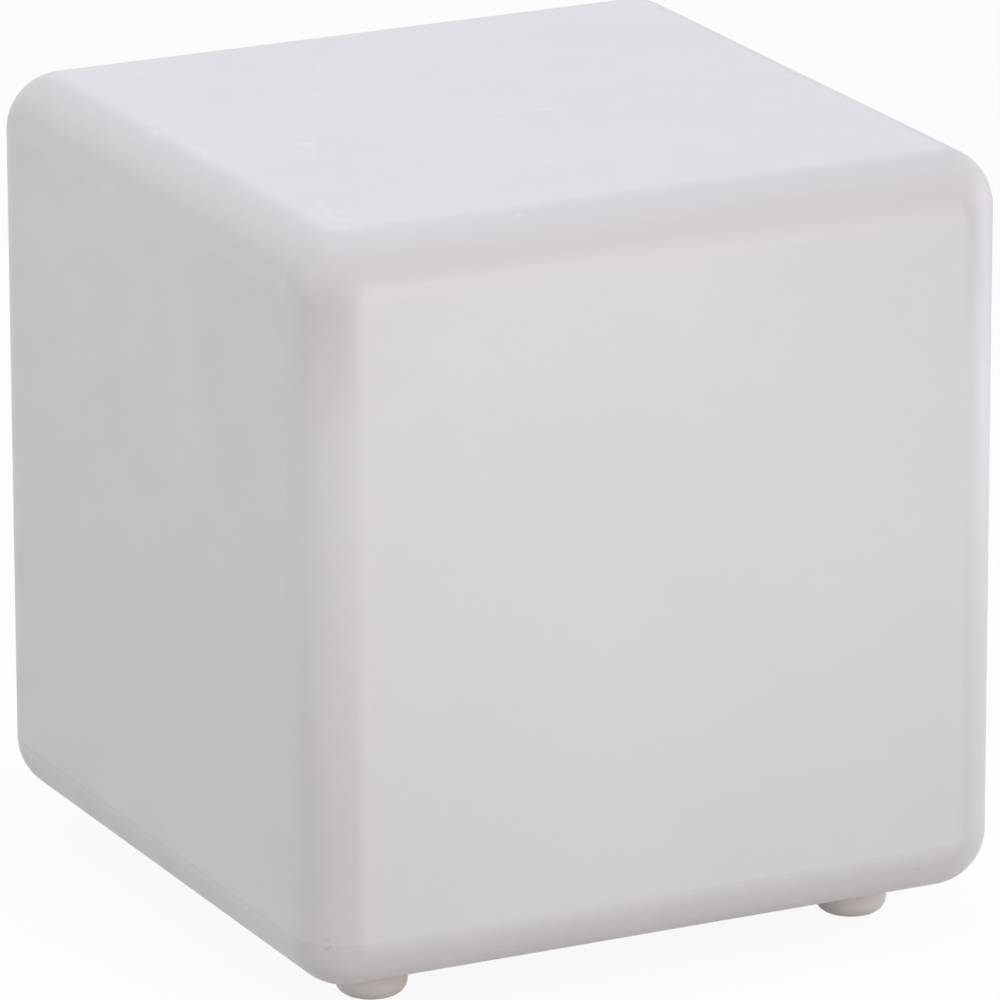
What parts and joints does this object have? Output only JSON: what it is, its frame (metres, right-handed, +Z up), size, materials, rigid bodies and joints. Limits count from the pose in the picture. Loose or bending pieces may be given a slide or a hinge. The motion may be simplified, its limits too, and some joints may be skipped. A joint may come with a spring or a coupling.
{
  "type": "led cube light",
  "caption": "Hollow translucent cube light with rounded edges on round feet, with a rechargeable light unit that twists into the recess in its underside.",
  "frame": {"origin": "on the floor under the middle of the cube, between its four feet", "axes": "+Z up, -Y the front face that the picture shows largest, +X to its right"},
  "size_m": [0.4008, 0.4008, 0.421],
  "materials": {
    "shell_plastic": "milky translucent polyethylene, satin, fine moulded grain",
    "foot_plastic": "milky translucent elastomer, satin, slightly warmer than the shell",
    "ring_plastic": "white injection-moulded plastic, fine grain",
    "unit_plastic": "white injection-moulded plastic, fine grain",
    "button_plastic": "grey satin plastic",
    "cover_rubber": "grey soft plastic",
    "seal_rubber": "pale grey silicone",
    "switch_plastic": "black plastic",
    "tray_plastic": "black plastic",
    "cell_wrap": "plain blue shrink wrap",
    "screw_steel": "zinc-plated steel",
    "pin_steel": "polished steel",
    "contact_metal": "nickel-plated spring steel",
    "insert_brass": "turned brass",
    "board_green": "glass-fibre circuit board with green coating",
    "board_white": "aluminium circuit board with white coating",
    "lamp_lens": "lamp chips with pale yellow lenses, not lit",
    "dark_parts": "black electronic parts",
    "clear_plastic": "frosted clear polycarbonate",
    "lead_plastic": "plain wires and plugs"
  },
  "bodies": {
    "cube": {"shell": "shell_plastic", "foot_front_left": "foot_plastic", "foot_front_right": "foot_plastic", "foot_rear_left": "foot_plastic", "foot_rear_right": "foot_plastic", "foot_screws": "screw_steel", "foot_washers": "screw_steel", "foot_inserts": "insert_brass", "mount_ring": "ring_plastic", "ring_gasket": "seal_rubber", "ring_screws": "screw_steel"},
    "light_unit": {"base_plate": "unit_plastic", "unit_gasket": "seal_rubber", "unit_housing": "unit_plastic", "housing_screws": "screw_steel", "main_board": "board_green", "board_screws": "screw_steel", "battery_holder": "tray_plastic", "battery_contacts": "contact_metal", "battery_cell_1": "cell_wrap", "battery_cell_2": "cell_wrap", "push_switch": "switch_plastic", "button_seal": "seal_rubber", "charge_socket": "switch_plastic", "socket_pin": "pin_steel", "cover_hinge_pin": "pin_steel", "indicator_lens": "clear_plastic", "status_lamp": "lamp_lens", "control_chip": "dark_parts", "charge_coil": "dark_parts", "storage_capacitor": "dark_parts", "lead_plugs": "lead_plastic", "lamp_lead": "lead_plastic", "lamp_board": "board_white", "lamp_board_screws": "screw_steel", "lamp_chips": "lamp_lens", "remote_receiver": "dark_parts", "dome_gasket": "seal_rubber", "diffuser_dome": "clear_plastic", "dome_screws": "screw_steel"},
    "power_button": {"power_button": "button_plastic", "switch_plunger": "button_plastic"},
    "socket_cover": {"socket_cover": "cover_rubber"}
  },
  "joints": [
    {"name": "unit_twist", "type": "hinge", "parent": "cube", "child": "light_unit", "pos_m": [0, 0, 0.036], "axis": [0, 0, -1], "range_deg": [0, 45]},
    {"name": "button_press", "type": "slide", "parent": "light_unit", "child": "power_button", "axis": [0, 0, 1], "range_m": [0, 0.0012], "stiffness_N_per_m": 1500},
    {"name": "cover_swing", "type": "hinge", "parent": "light_unit", "child": "socket_cover", "pos_m": [0.039, 0.038, 0.0304], "axis": [0, -1, 0], "range_deg": [0, 110]}
  ]
}
